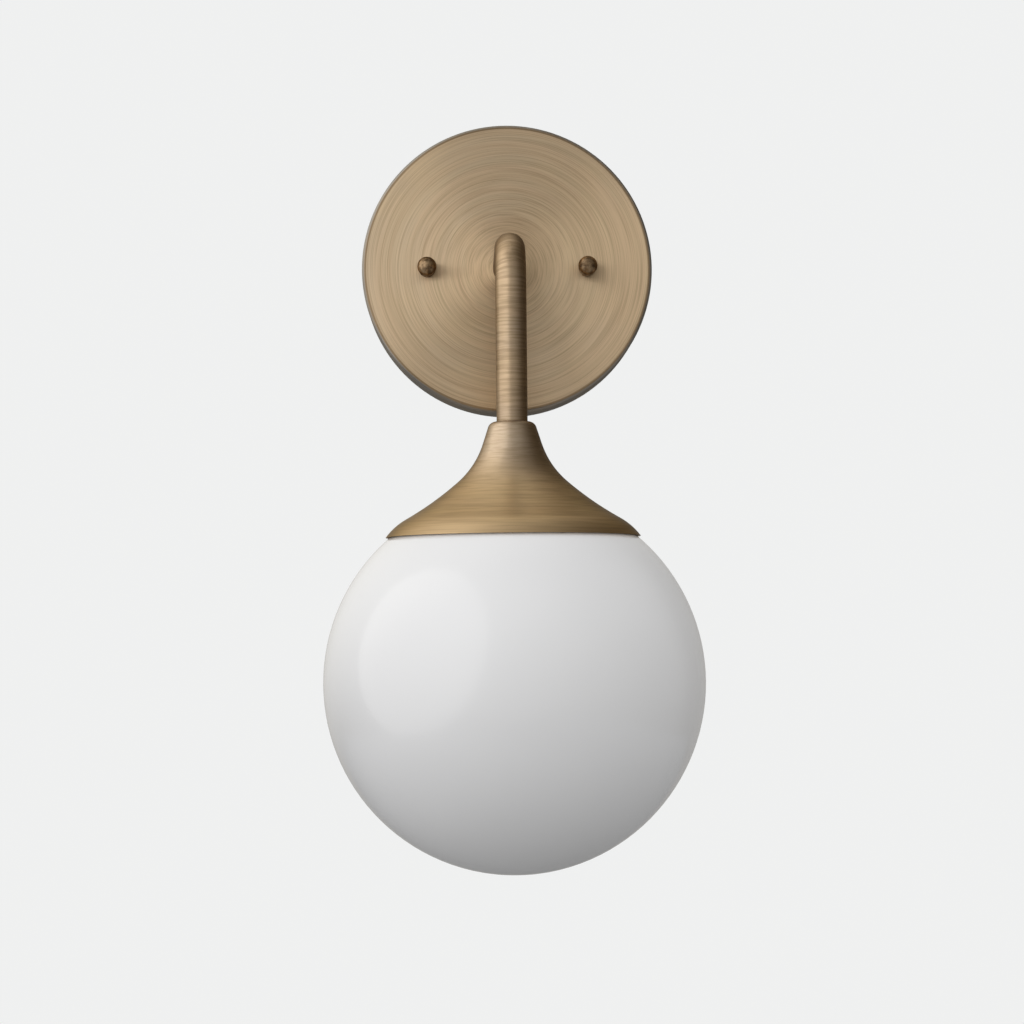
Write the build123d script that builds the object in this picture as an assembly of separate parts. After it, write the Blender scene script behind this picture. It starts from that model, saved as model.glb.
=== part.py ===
from build123d import *
from math import atan2, cos, pi, radians, sin, sqrt
import os

# Globe wall sconce.
# Millimetres.  +Z is up and +Y points into the wall, so the room is on the -Y side.
# Origin: centre of the backplate, in the plane of the wall.
# Heights of the bell, glass, socket and bulb are counted from the plane of the bell's rim.

# ---------------------------------------------------------------- fits
SNUG_FIT = 0.03               # radial, a shank, rivet or lead held in its hole
THREAD_FIT = 0.06             # radial, between a thread and its nut

# ---------------------------------------------------------------- backplate
PLATE_DIAMETER = 127.0
PLATE_DEPTH = 19.0            # wall to brushed face
PLATE_WALL = 1.2
PLATE_EDGE_RADIUS = 1.6       # soft edge round the brushed face

# ---------------------------------------------------------------- wall fixing
STUD_SPACING = 69.85          # two studs on a level line
STUD_RADIUS = 2.08
STUD_HOLE_CLEARANCE = 0.4     # in the backplate
STUD_ENGAGEMENT = 5.2         # stud length inside its ball nut
JAM_NUT_FLATS = 8.7
JAM_NUT_HEIGHT = 3.0

BRACKET_THICKNESS = 1.6
BRACKET_END_MARGIN = 4.3      # beyond each mounting slot
BRACKET_WIDTH = 84.0
BRACKET_BAR_WIDTH = 22.0
BRACKET_CORNER_RADIUS = 5.0
BRACKET_HOLE_RADIUS = 8.0     # supply wires pass here
BOX_SLOT_SPACING = 79.4       # between slot centres
BOX_SLOT_LENGTH = 24.0        # end to end
BOX_SLOT_WIDTH = 4.6

BALL_RADIUS = 4.15
BALL_STANDOFF = 7.3           # ball centre in front of the brushed face
BALL_NECK_RADIUS = 3.0
BALL_COLLAR_RADIUS = 3.7
BALL_COLLAR_HEIGHT = 0.9
BALL_BORE_SPARE = 0.5         # blind bore beyond the stud's tip
WASHER_RADIUS = 3.4
WASHER_THICKNESS = 0.5
WASHER_GAP = 0.1              # on each side of a ball nut's washer

GROUND_SCREW_RADIUS = 2.3
GROUND_SCREW_HEIGHT = 18.0    # above the bracket's centre
GROUND_HEAD_RADIUS = 4.6
GROUND_HEAD_HEIGHT = 2.6

# ---------------------------------------------------------------- arm
ARM_REACH = 88.0              # wall to the drop's axis
ARM_DROP = 73.5               # plate centre to the bell's top
TUBE_DIAMETER = 12.5
TUBE_BORE = 10.0
BEND_RADIUS = 19.0            # on the tube's centre line

NIPPLE_FIT = 0.05             # radial, nipple in the tube's tapped end
NIPPLE_HOLE_GAP = 0.1         # radial, nipple in a plain hole or nut
NIPPLE_BORE_RADIUS = 3.75
NIPPLE_GRIP = 8.0             # length held inside the tube
NIPPLE_SPARE = 1.0            # thread beyond the rear nut
NUT_FLATS = 14.0
NUT_HEIGHT = 3.0
LOCK_WASHER_RADIUS = 6.5
LOCK_WASHER_THICKNESS = 0.8
BUSHING_WALL = 0.7
BUSHING_DEPTH = 4.0
BUSHING_FLANGE = 1.0

# ---------------------------------------------------------------- bell
BELL_HEIGHT = 46.3
BELL_WALL = 0.9
BELL_RIM_RADIUS = 51.1
BELL_RIM_LEAN = 36.2          # degrees from upright at the rim
BELL_LIP_INSET = 8.04         # how far in the turned lip reaches
BELL_LIP_HEIGHT = 7.18
BELL_FLARE_RADIUS = 21.95     # where the shallow flare ends
BELL_FLARE_HEIGHT = 22.2
BELL_WAIST_RADIUS = 11.92     # where the neck becomes a cone
BELL_WAIST_HEIGHT = 37.4
BELL_SHOULDER_RADIUS = 3.2

# ---------------------------------------------------------------- glass
GLOBE_RADIUS = 76.2
GLOBE_WALL = 2.6
GLOBE_RIM_GAP = 0.3           # bell's rim to glass
NECK_RADIUS = 19.0
NECK_BORE_RADIUS = 16.0
NECK_TOP = 22.0
NECK_FILLET = 2.0
NECK_LIP_FILLET = 0.8
GASKET_THICKNESS = 0.9
GASKET_GAP = 0.2              # above and below the gasket, and round the cup
GASKET_INSET = 0.2            # in from the neck's outside

# ---------------------------------------------------------------- fitter cup
CUP_RADIUS = 13.3
CUP_WALL = 0.9
CUP_BOTTOM = 8.0
CUP_TOP = 30.7
CUP_CORNER_RADIUS = 1.4
CUP_FLANGE_RADIUS = 17.8
SPRING_COUNT = 3
SPRING_START = 30.0           # degrees from the right-hand side to the first spring
SPRING_ARC = 28.0             # degrees of the cup that a spring covers
SPRING_THICKNESS = 0.4
SPRING_CUP_GAP = 0.05
SPRING_NECK_GAP = 0.3         # spring crest to the neck's bore
SPRING_FOOT = 3.4
SPRING_RIVET_RADIUS = 0.8
SPRING_RIVET_HEAD = 1.3

# ---------------------------------------------------------------- socket
STRAP_THICKNESS = 1.2
STRAP_RADIUS = 8.5
STRAP_BOSS_RADIUS = 6.3
STRAP_BOSS_HEIGHT = 2.0
STRAP_LEG_WIDTH = 6.0
STRAP_LEG_PLACE = 7.0         # from the axis to the leg's middle
SOCKET_TOP = 17.0
SOCKET_MOUTH = -14.0
SOCKET_RADIUS = 11.4
SOCKET_BARREL_RADIUS = 10.2
SOCKET_STEP = -2.0            # where the body narrows to its barrel
SOCKET_CAVITY_TOP = 5.6
SOCKET_MOUTH_CHAMFER = 0.8
SHELL_WALL = 0.4
SHELL_FIT = 0.05              # shell in the body
SHELL_INSET = 1.0             # above the socket's mouth
SHELL_LENGTH = 16.0
SHELL_TAB_WIDTH = 3.0
BULB_FIT = 0.3                # bulb base to shell, all round
CONTACT_THICKNESS = 0.5
CONTACT_DROP = 1.0            # the tongue stands this far off the cavity's roof
CONTACT_WIDTH = 4.0
CONTACT_REACH = 2.0           # the tongue's end, past the axis
CONTACT_GAP = 0.3             # bulb tip to centre contact
SOCKET_RIVET_PLACE = 4.6      # from the axis
SOCKET_RIVET_RADIUS = 1.0
SOCKET_RIVET_HEAD = 1.8
SOCKET_RIVET_HEAD_HEIGHT = 0.6
LEAD_HOLE_DEPTH = 7.0
SOCKET_SCREW_PLACE = 9.4      # from the axis
SOCKET_SCREW_RADIUS = 1.15
SOCKET_SCREW_HEAD = 1.7
SOCKET_SCREW_HEAD_HEIGHT = 1.3
SOCKET_SCREW_DEPTH = 4.5
SCREW_SLOT = 0.6

# ---------------------------------------------------------------- bulb
BASE_RADIUS = 5.95
BASE_THREAD_DEPTH = 0.45
BASE_PITCH = 2.54
BASE_TURNS = 4
BASE_WALL = 0.3
BASE_SKIRT = 3.0              # plain part of the base, round the glass neck
TIP_RADIUS = 2.3
TIP_HEIGHT = 0.8
INSULATOR_HEIGHT = 1.6
INSULATOR_INSET = 0.3
INSULATOR_LAND = 0.4          # insulator seen round the tip
BULB_RADIUS = 12.5
BULB_LENGTH = 70.0            # glass below the base
BULB_SHOULDER = 13.0          # from the base to the full width
BULB_WALL = 0.8
STEM_LENGTH = 20.0
STEM_RADIUS = 2.6
STEM_FLARE_LENGTH = 4.0
STEM_FLARE_GAP = 0.1
FILAMENT_COUNT = 4
FILAMENT_RADIUS = 0.9
FILAMENT_LENGTH = 34.0
FILAMENT_CIRCLE = 4.6         # from the bulb's axis to each filament
FILAMENT_DROP = 2.0           # stem tip up to the filaments' tops
WIRE_RADIUS = 0.35

# ---------------------------------------------------------------- wiring
LEAD_RADIUS = 1.05
LEAD_SPREAD = 1.2             # each lead's distance from the tube's centre line
LEAD_WALL_DISTANCE = 7.5      # leads and connectors inside the backplate
LEAD_BEND = 6.0
SOCKET_LEAD_BEND = 3.5
CONNECTOR_RADIUS = 4.7
CONNECTOR_TIP_RADIUS = 3.3
CONNECTOR_LENGTH = 17.0
CONNECTOR_RIM = 4.0           # cylindrical part at the mouth
CONNECTOR_BORE_DEPTH = 14.0
CONNECTOR_FUNNEL = 4.0
CONNECTOR_PLACE = 23.0        # to each side of the centre
CONNECTOR_DROP = 27.0         # mouths below the centre
CONNECTOR_RIBS = 10
CONNECTOR_GROOVE_RADIUS = 0.6
CONNECTOR_GROOVE_DEPTH = 0.25
TERMINAL_THICKNESS = 0.8
TERMINAL_RING = 2.0           # metal round a ring terminal's hole
TERMINAL_HEAD_GAP = 0.4       # barrel to the nut or screw head beside it
BARREL_WALL = 0.5
BARREL_LENGTH = 5.0
BARREL_END = 1.0              # solid start of the barrel
GROUND_LOOP_PLACE = 24.0      # how far the earth lead loops to the side

# ---------------------------------------------------------------- derived places
PLATE_RADIUS = PLATE_DIAMETER / 2
TUBE_RADIUS = TUBE_DIAMETER / 2
NIPPLE_RADIUS = TUBE_BORE / 2 - NIPPLE_FIT
NIPPLE_HOLE_RADIUS = NIPPLE_RADIUS + NIPPLE_HOLE_GAP
STUD_BORE_RADIUS = STUD_RADIUS + THREAD_FIT
GROUND_BORE_RADIUS = GROUND_SCREW_RADIUS + THREAD_FIT
BARREL_RADIUS = LEAD_RADIUS + SNUG_FIT + BARREL_WALL

# distances from the wall
PLATE_INSIDE = PLATE_DEPTH - PLATE_WALL
BALL_NUT_BACK = PLATE_DEPTH + WASHER_THICKNESS + 2 * WASHER_GAP
STUD_TIP = BALL_NUT_BACK + STUD_ENGAGEMENT
REAR_TERMINAL_BACK = PLATE_INSIDE - LOCK_WASHER_THICKNESS - TERMINAL_THICKNESS
REAR_NUT_BACK = REAR_TERMINAL_BACK - NUT_HEIGHT
REAR_NIPPLE_END = REAR_NUT_BACK - NIPPLE_SPARE

# heights over the bell's rim
RIM_Z = -ARM_DROP - BELL_HEIGHT
RIM_INNER_RADIUS = BELL_RIM_RADIUS - BELL_WALL / cos(radians(BELL_RIM_LEAN))
GLOBE_CENTRE = -sqrt((GLOBE_RADIUS + GLOBE_RIM_GAP) ** 2 - RIM_INNER_RADIUS ** 2)
GASKET_BOTTOM = NECK_TOP + GASKET_GAP
FLANGE_BOTTOM = GASKET_BOTTOM + GASKET_THICKNESS + GASKET_GAP
TOP_NUT_BOTTOM = BELL_HEIGHT - BELL_WALL - LOCK_WASHER_THICKNESS - NUT_HEIGHT
STRAP_TOP = CUP_TOP - CUP_WALL
STRAP_PLATE_BOTTOM = STRAP_TOP - STRAP_THICKNESS
HOLDER_NIPPLE_BOTTOM = STRAP_PLATE_BOTTOM - STRAP_BOSS_HEIGHT
STRAP_FOOT_TOP = SOCKET_TOP + STRAP_THICKNESS
LEAD_HOLE_BOTTOM = SOCKET_TOP - LEAD_HOLE_DEPTH
SHELL_RADIUS = BASE_RADIUS + BULB_FIT + SHELL_WALL
SHELL_TOP = SOCKET_MOUTH + SHELL_INSET + SHELL_LENGTH
CONTACT_FACE = SOCKET_CAVITY_TOP - CONTACT_THICKNESS - CONTACT_DROP
BULB_TIP_TOP = CONTACT_FACE - CONTACT_GAP
BULB_TIP_BOTTOM = BULB_TIP_TOP - TIP_HEIGHT
BASE_TOP = BULB_TIP_BOTTOM - INSULATOR_HEIGHT
BASE_SKIRT_TOP = BASE_TOP - BASE_TURNS * BASE_PITCH
BASE_BOTTOM = BASE_SKIRT_TOP - BASE_SKIRT
BASE_MEAN_RADIUS = BASE_RADIUS - BASE_THREAD_DEPTH / 2
BULB_NECK_RADIUS = BASE_RADIUS - BASE_THREAD_DEPTH - BASE_WALL - SNUG_FIT
STEM_TIP = BASE_BOTTOM - STEM_LENGTH
FILAMENT_TOP = STEM_TIP + FILAMENT_DROP
FILAMENT_BOTTOM = FILAMENT_TOP - FILAMENT_LENGTH

SIDES = {"left": -1, "right": 1}
parts = {}


# ---------------------------------------------------------------- helpers
def turned(*outline):
    """A solid turned about the Z axis, from (radius, height) points."""
    return revolve(Plane.XZ * make_face(Polyline(*outline, close=True)), Axis.Z)


def rod(radius, bottom, top):
    return turned((0, bottom), (radius, bottom), (radius, top), (0, top))


def ring(outer_radius, inner_radius, bottom, top):
    return turned((inner_radius, bottom), (outer_radius, bottom), (outer_radius, top), (inner_radius, top))


def top_edges(shape):
    return shape.edges().group_by(Axis.Z)[-1]


def bottom_edges(shape):
    return shape.edges().group_by(Axis.Z)[0]


def from_wall(distance, x=0.0, z=0.0):
    """Place on a line square to the wall: local +Z points into the room, local +Y up."""
    return Pos(x, -distance, z) * Rot(90, 0, 0)


def over_rim(height=0.0):
    """Place on the drop's axis, at a height above the bell's rim."""
    return Pos(0, -ARM_REACH, RIM_Z + height)


def around(count, start=0.0):
    """Evenly spaced turns about the Z axis."""
    return [Rot(0, 0, start + turn * 360 / count) for turn in range(count)]


def hex_nut(across_flats, bore_radius, height):
    corner = across_flats / sqrt(3)
    bevel = corner - across_flats / 2
    blank = extrude(RegularPolygon(across_flats / 2, 6, major_radius=False), height)
    turned_blank = turned(
        (bore_radius, 0), (corner - bevel, 0), (corner, bevel / 2),
        (corner, height - bevel / 2), (corner - bevel, height), (bore_radius, height),
    )
    return blank & turned_blank


def slotted_screw(head_radius, head_height, shank_radius, shank_length):
    """Head above the seat at z = 0, shank below it."""
    head = rod(head_radius, 0, head_height)
    head = fillet(top_edges(head), head_height * 0.35)
    slot = Pos(0, 0, head_height) * Box(3 * head_radius, SCREW_SLOT, head_height)
    return head - slot + rod(shank_radius, -shank_length, 0)


def lead(points, radii):
    """Round lead along straight runs joined by tangent arcs."""
    route = FilletPolyline(*points, radius=radii)
    section = Plane(origin=route @ 0, z_dir=route % 0) * Circle(LEAD_RADIUS)
    solid = sweep(section, path=route)
    print("lead", round(route.length, 1), "long, bends", radii, "swept/section", volume_ratio(solid, route))
    return solid


def volume_ratio(solid, route):
    return round(solid.volume / (pi * LEAD_RADIUS ** 2 * route.length), 4)


# ---------------------------------------------------------------- backplate and wall fixing
def make_canopy():
    outside = rod(PLATE_RADIUS, 0, PLATE_DEPTH)
    outside = fillet(top_edges(outside), PLATE_EDGE_RADIUS)
    inside = rod(PLATE_RADIUS - PLATE_WALL, -PLATE_WALL, PLATE_INSIDE)
    if PLATE_EDGE_RADIUS > PLATE_WALL:
        inside = fillet(top_edges(inside), PLATE_EDGE_RADIUS - PLATE_WALL)
    pan = outside - inside - rod(NIPPLE_HOLE_RADIUS, 0, PLATE_DEPTH)
    stud_hole = rod(STUD_RADIUS + STUD_HOLE_CLEARANCE, 0, PLATE_DEPTH)
    for side in SIDES.values():
        pan -= Pos(side * STUD_SPACING / 2, 0, 0) * stud_hole
    return from_wall(0) * pan


def make_bracket():
    height = BOX_SLOT_SPACING + BOX_SLOT_LENGTH + 2 * BRACKET_END_MARGIN
    upright = RectangleRounded(BRACKET_BAR_WIDTH, height, BRACKET_CORNER_RADIUS)
    level = RectangleRounded(BRACKET_WIDTH, BRACKET_BAR_WIDTH, BRACKET_CORNER_RADIUS)
    outline = upright + level
    inner_corners = outline.vertices().sort_by(lambda corner: Vector(corner.X, corner.Y).length)[:4]
    outline = fillet(inner_corners, BRACKET_CORNER_RADIUS)
    outline -= Circle(BRACKET_HOLE_RADIUS)
    outline -= Pos(0, GROUND_SCREW_HEIGHT) * Circle(GROUND_BORE_RADIUS)
    slot = SlotOverall(BOX_SLOT_LENGTH, BOX_SLOT_WIDTH, rotation=90)
    for side in SIDES.values():
        outline -= Pos(0, side * BOX_SLOT_SPACING / 2) * slot
        outline -= Pos(side * STUD_SPACING / 2, 0) * Circle(STUD_BORE_RADIUS)
    return from_wall(0) * extrude(outline, BRACKET_THICKNESS)


def make_stud():
    stud = rod(STUD_RADIUS, 0, STUD_TIP)
    return chamfer(top_edges(stud), STUD_RADIUS * 0.2)


def make_washer():
    seat = PLATE_DEPTH + WASHER_GAP
    return ring(WASHER_RADIUS, STUD_BORE_RADIUS, seat, seat + WASHER_THICKNESS)


def make_ball_nut():
    """Ball cap nut with a collar on the washer and a blind threaded bore."""
    collar = rod(BALL_COLLAR_RADIUS, BALL_NUT_BACK, BALL_NUT_BACK + BALL_COLLAR_HEIGHT)
    collar = fillet(top_edges(collar), BALL_COLLAR_HEIGHT * 0.45)
    neck = rod(BALL_NECK_RADIUS, BALL_NUT_BACK, PLATE_DEPTH + BALL_STANDOFF)
    ball = Pos(0, 0, PLATE_DEPTH + BALL_STANDOFF) * Sphere(BALL_RADIUS)
    bore = rod(STUD_BORE_RADIUS, 0, STUD_TIP + BALL_BORE_SPARE)
    return collar + neck + ball - bore


jam_nut = hex_nut(JAM_NUT_FLATS, STUD_BORE_RADIUS, JAM_NUT_HEIGHT)
parts["canopy"] = [make_canopy()]
parts["mounting_bracket"] = [make_bracket()]
parts["mounting_studs"] = []
parts["stud_lock_nuts"] = []
for name, side in SIDES.items():
    stud_line = from_wall(0, x=side * STUD_SPACING / 2)
    parts["mounting_studs"].append(stud_line * make_stud())
    parts["stud_lock_nuts"].append(stud_line * Pos(0, 0, BRACKET_THICKNESS) * jam_nut)
    parts["washer_" + name] = [stud_line * make_washer()]
    parts["ball_nut_" + name] = [stud_line * make_ball_nut()]


# ---------------------------------------------------------------- arm and its fixings
def make_arm_tube():
    route = FilletPolyline(
        (0, -PLATE_DEPTH, 0), (0, -ARM_REACH, 0), (0, -ARM_REACH, -ARM_DROP), radius=BEND_RADIUS
    )
    start = Plane(origin=route @ 0, z_dir=route % 0)
    return sweep(start * (Circle(TUBE_RADIUS) - Circle(TUBE_BORE / 2)), path=route)


def make_bushing():
    """Flanged bushing pressed into the rear nipple."""
    sleeve_radius = NIPPLE_BORE_RADIUS - NIPPLE_FIT
    bore_radius = sleeve_radius - BUSHING_WALL
    sleeve = ring(sleeve_radius, bore_radius, REAR_NIPPLE_END, REAR_NIPPLE_END + BUSHING_DEPTH)
    flange = ring(NIPPLE_RADIUS, bore_radius, REAR_NIPPLE_END - BUSHING_FLANGE, REAR_NIPPLE_END)
    return sleeve + fillet(bottom_edges(flange), BUSHING_FLANGE * 0.3)


nipple_nut = hex_nut(NUT_FLATS, NIPPLE_HOLE_RADIUS, NUT_HEIGHT)
lock_washer = ring(LOCK_WASHER_RADIUS, NIPPLE_HOLE_RADIUS, 0, LOCK_WASHER_THICKNESS)
rear_nipple = ring(NIPPLE_RADIUS, NIPPLE_BORE_RADIUS, REAR_NIPPLE_END, PLATE_DEPTH + NIPPLE_GRIP)
holder_nipple = ring(NIPPLE_RADIUS, NIPPLE_BORE_RADIUS, HOLDER_NIPPLE_BOTTOM, BELL_HEIGHT + NIPPLE_GRIP)
parts["arm_tube"] = [make_arm_tube()]
parts["arm_nipple"] = [from_wall(0) * rear_nipple]
parts["holder_nipple"] = [over_rim() * holder_nipple]
parts["nipple_nuts"] = [
    from_wall(REAR_NUT_BACK) * nipple_nut,
    over_rim(TOP_NUT_BOTTOM) * nipple_nut,
    over_rim(CUP_TOP) * nipple_nut,
]
parts["lock_washers"] = [
    from_wall(PLATE_INSIDE - LOCK_WASHER_THICKNESS) * lock_washer,
    over_rim(TOP_NUT_BOTTOM + NUT_HEIGHT) * lock_washer,
]
parts["nipple_bushing"] = [from_wall(0) * make_bushing()]


# ---------------------------------------------------------------- bell
def make_bell():
    """Spun trumpet: turned lip, long flare, waist, cone and rounded shoulder."""
    rim = (BELL_RIM_RADIUS, 0)
    lip_end = (BELL_RIM_RADIUS - BELL_LIP_INSET, BELL_LIP_HEIGHT)
    flare_end = (BELL_FLARE_RADIUS, BELL_FLARE_HEIGHT)
    waist_end = (BELL_WAIST_RADIUS, BELL_WAIST_HEIGHT)
    rim_lean = radians(BELL_RIM_LEAN)
    lip = TangentArc(rim, lip_end, tangent=(-sin(rim_lean), cos(rim_lean)))
    flare = TangentArc(lip_end, flare_end, tangent=lip % 1)
    waist = TangentArc(flare_end, waist_end, tangent=flare % 1)
    direction = waist % 1
    lean = atan2(-direction.X, direction.Y)
    cone_top = BELL_HEIGHT - BELL_SHOULDER_RADIUS * (1 - sin(lean))
    cone_radius = BELL_WAIST_RADIUS - (cone_top - BELL_WAIST_HEIGHT) * sin(lean) / cos(lean)
    cone = Line(waist_end, (cone_radius, cone_top))
    shoulder_end = (cone_radius - BELL_SHOULDER_RADIUS * cos(lean), BELL_HEIGHT)
    shoulder = TangentArc((cone_radius, cone_top), shoulder_end, tangent=cone % 1)
    top = Line(shoulder_end, (NIPPLE_HOLE_RADIUS, BELL_HEIGHT))
    outline = Wire([lip.edge(), flare.edge(), waist.edge(), cone.edge(), shoulder.edge(), top.edge()])
    band = offset(outline, BELL_WALL, side=Side.LEFT)
    spun = revolve(Plane.XZ * make_face(band), Axis.Z)
    return spun - rod(2 * BELL_RIM_RADIUS, -BELL_HEIGHT, 0)


parts["bell"] = [over_rim() * make_bell()]


# ---------------------------------------------------------------- fitter cup, springs, gasket, globe
spring_turns = around(SPRING_COUNT, SPRING_START)


def make_fitter_cup():
    cup = rod(CUP_RADIUS, CUP_BOTTOM, CUP_TOP)
    cup = fillet(top_edges(cup), CUP_CORNER_RADIUS)
    cup += rod(CUP_FLANGE_RADIUS, FLANGE_BOTTOM, FLANGE_BOTTOM + CUP_WALL)
    cup -= rod(CUP_RADIUS - CUP_WALL, 0, STRAP_TOP)
    cup -= rod(NIPPLE_HOLE_RADIUS, 0, CUP_TOP)
    for turn in spring_turns:
        cup -= turn * make_rivet_shank(SPRING_RIVET_RADIUS)
    return cup


def make_rivet_shank(radius):
    shank = Rot(0, 90, 0) * rod(radius, CUP_RADIUS - CUP_WALL, CUP_RADIUS + SPRING_CUP_GAP + SPRING_THICKNESS)
    return Pos(0, 0, CUP_BOTTOM + SPRING_FOOT / 2) * shank


def make_spring_rivet():
    half_space = Box(
        2 * SPRING_RIVET_HEAD, 2 * SPRING_RIVET_HEAD, SPRING_RIVET_HEAD,
        align=(Align.CENTER, Align.CENTER, Align.MIN),
    )
    dome = Rot(0, 90, 0) * (Sphere(SPRING_RIVET_HEAD) & half_space)
    seat = CUP_RADIUS + SPRING_CUP_GAP + SPRING_THICKNESS
    head = Pos(seat, 0, CUP_BOTTOM + SPRING_FOOT / 2) * dome
    return make_rivet_shank(SPRING_RIVET_RADIUS - SNUG_FIT) + head


def make_neck_spring():
    """Curved leaf: a foot on the cup, a bow towards the glass, a free end beside the cup."""
    back = CUP_RADIUS + SPRING_CUP_GAP
    front = back + SPRING_THICKNESS
    crest = NECK_BORE_RADIUS - SPRING_NECK_GAP
    foot_top = CUP_BOTTOM + SPRING_FOOT
    crest_height = (foot_top + NECK_TOP) / 2
    outline = [
        Line((back, CUP_BOTTOM), (front, CUP_BOTTOM)),
        Line((front, CUP_BOTTOM), (front, foot_top)),
        ThreePointArc((front, foot_top), (crest, crest_height), (front, NECK_TOP)),
        Line((front, NECK_TOP), (back, NECK_TOP)),
        ThreePointArc((back, NECK_TOP), (crest - SPRING_THICKNESS, crest_height), (back, foot_top)),
        Line((back, foot_top), (back, CUP_BOTTOM)),
    ]
    leaf = revolve(Plane.XZ * make_face(outline), Axis.Z, revolution_arc=SPRING_ARC)
    return Rot(0, 0, -SPRING_ARC / 2) * leaf - make_rivet_shank(SPRING_RIVET_RADIUS)


def neck_root(shape, radius):
    """The circle where a neck of that radius meets the ball."""
    circles = shape.edges().filter_by(GeomType.CIRCLE)
    circles = circles.filter_by(lambda edge: abs(edge.radius - radius) < 0.01)
    return circles.sort_by(Axis.Z)[0]


def make_globe():
    ball = Pos(0, 0, GLOBE_CENTRE) * Sphere(GLOBE_RADIUS)
    hollow = Pos(0, 0, GLOBE_CENTRE) * Sphere(GLOBE_RADIUS - GLOBE_WALL)
    outside = ball + rod(NECK_RADIUS, GLOBE_CENTRE, NECK_TOP)
    inside = hollow + rod(NECK_BORE_RADIUS, GLOBE_CENTRE, NECK_TOP)
    outside = fillet(neck_root(outside, NECK_RADIUS), NECK_FILLET)
    inside = fillet(neck_root(inside, NECK_BORE_RADIUS), NECK_FILLET)
    glass = outside - inside
    return fillet(top_edges(glass), NECK_LIP_FILLET)


def make_gasket():
    gasket = ring(
        NECK_RADIUS - GASKET_INSET, CUP_RADIUS + GASKET_GAP, GASKET_BOTTOM, GASKET_BOTTOM + GASKET_THICKNESS
    )
    return fillet(gasket.edges(), GASKET_THICKNESS * 0.3)


parts["fitter_cup"] = [over_rim() * make_fitter_cup()]
parts["neck_springs"] = [over_rim() * turn * make_neck_spring() for turn in spring_turns]
parts["spring_rivets"] = [over_rim() * turn * make_spring_rivet() for turn in spring_turns]
parts["globe_gasket"] = [over_rim() * make_gasket()]
parts["globe_glass"] = [over_rim() * make_globe()]


# ---------------------------------------------------------------- socket
def make_socket_strap():
    """Tapped plate and boss on the nipple, with two legs down to the socket."""
    strap = rod(STRAP_RADIUS, STRAP_PLATE_BOTTOM, STRAP_TOP)
    strap += rod(STRAP_BOSS_RADIUS, HOLDER_NIPPLE_BOTTOM, STRAP_PLATE_BOTTOM)
    foot_length = SOCKET_RADIUS - STRAP_LEG_PLACE
    leg = Box(STRAP_LEG_WIDTH, STRAP_THICKNESS, STRAP_TOP - SOCKET_TOP)
    foot = Box(STRAP_LEG_WIDTH, foot_length, STRAP_THICKNESS)
    for side in SIDES.values():
        strap += Pos(0, side * STRAP_LEG_PLACE, (STRAP_TOP + SOCKET_TOP) / 2) * leg
        foot_middle = STRAP_LEG_PLACE + foot_length / 2
        strap += Pos(0, side * foot_middle, SOCKET_TOP + STRAP_THICKNESS / 2) * foot
        strap -= Pos(0, side * SOCKET_SCREW_PLACE, 0) * rod(SOCKET_SCREW_RADIUS, SOCKET_TOP, STRAP_FOOT_TOP)
    return strap - rod(NIPPLE_HOLE_RADIUS, HOLDER_NIPPLE_BOTTOM, STRAP_TOP)


def make_socket_body():
    body = turned(
        (0, SOCKET_MOUTH), (SOCKET_BARREL_RADIUS, SOCKET_MOUTH), (SOCKET_BARREL_RADIUS, SOCKET_STEP),
        (SOCKET_RADIUS, SOCKET_STEP), (SOCKET_RADIUS, SOCKET_TOP), (0, SOCKET_TOP),
    )
    body = chamfer(bottom_edges(body), SOCKET_MOUTH_CHAMFER)
    body -= rod(SHELL_RADIUS + SHELL_FIT, SOCKET_MOUTH, SOCKET_CAVITY_TOP)
    screw_hole = rod(SOCKET_SCREW_RADIUS, SOCKET_TOP - SOCKET_SCREW_DEPTH, SOCKET_TOP)
    rivet_hole = rod(SOCKET_RIVET_RADIUS, SOCKET_CAVITY_TOP, LEAD_HOLE_BOTTOM)
    lead_hole = rod(LEAD_RADIUS + SNUG_FIT, LEAD_HOLE_BOTTOM, SOCKET_TOP)
    for side in SIDES.values():
        body -= Pos(0, side * SOCKET_SCREW_PLACE, 0) * screw_hole
        body -= Pos(side * SOCKET_RIVET_PLACE, 0, 0) * (rivet_hole + lead_hole)
    return body


def make_screw_shell():
    """Thin sleeve with a tab folded in under the cavity's roof."""
    bore_radius = SHELL_RADIUS - SHELL_WALL
    shell = ring(SHELL_RADIUS, bore_radius, SOCKET_MOUTH + SHELL_INSET, SHELL_TOP)
    tab_height = SOCKET_CAVITY_TOP - SHELL_TOP
    inwards = (Align.MIN, Align.CENTER, Align.CENTER)
    tab_space = Box(2 * SHELL_RADIUS, SHELL_TAB_WIDTH, 2 * tab_height, align=inwards)
    shell += ring(SHELL_RADIUS, bore_radius, SHELL_TOP, SOCKET_CAVITY_TOP) & Pos(0, 0, SHELL_TOP) * tab_space
    foot_start = SOCKET_RIVET_PLACE - SOCKET_RIVET_HEAD
    foot = Box(bore_radius - foot_start, SHELL_TAB_WIDTH, CONTACT_THICKNESS, align=inwards)
    shell += Pos(foot_start, 0, SOCKET_CAVITY_TOP - CONTACT_THICKNESS / 2) * foot
    rivet_hole = rod(SOCKET_RIVET_RADIUS, SOCKET_CAVITY_TOP - CONTACT_THICKNESS, SOCKET_CAVITY_TOP)
    return shell - Pos(SOCKET_RIVET_PLACE, 0, 0) * rivet_hole


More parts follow.
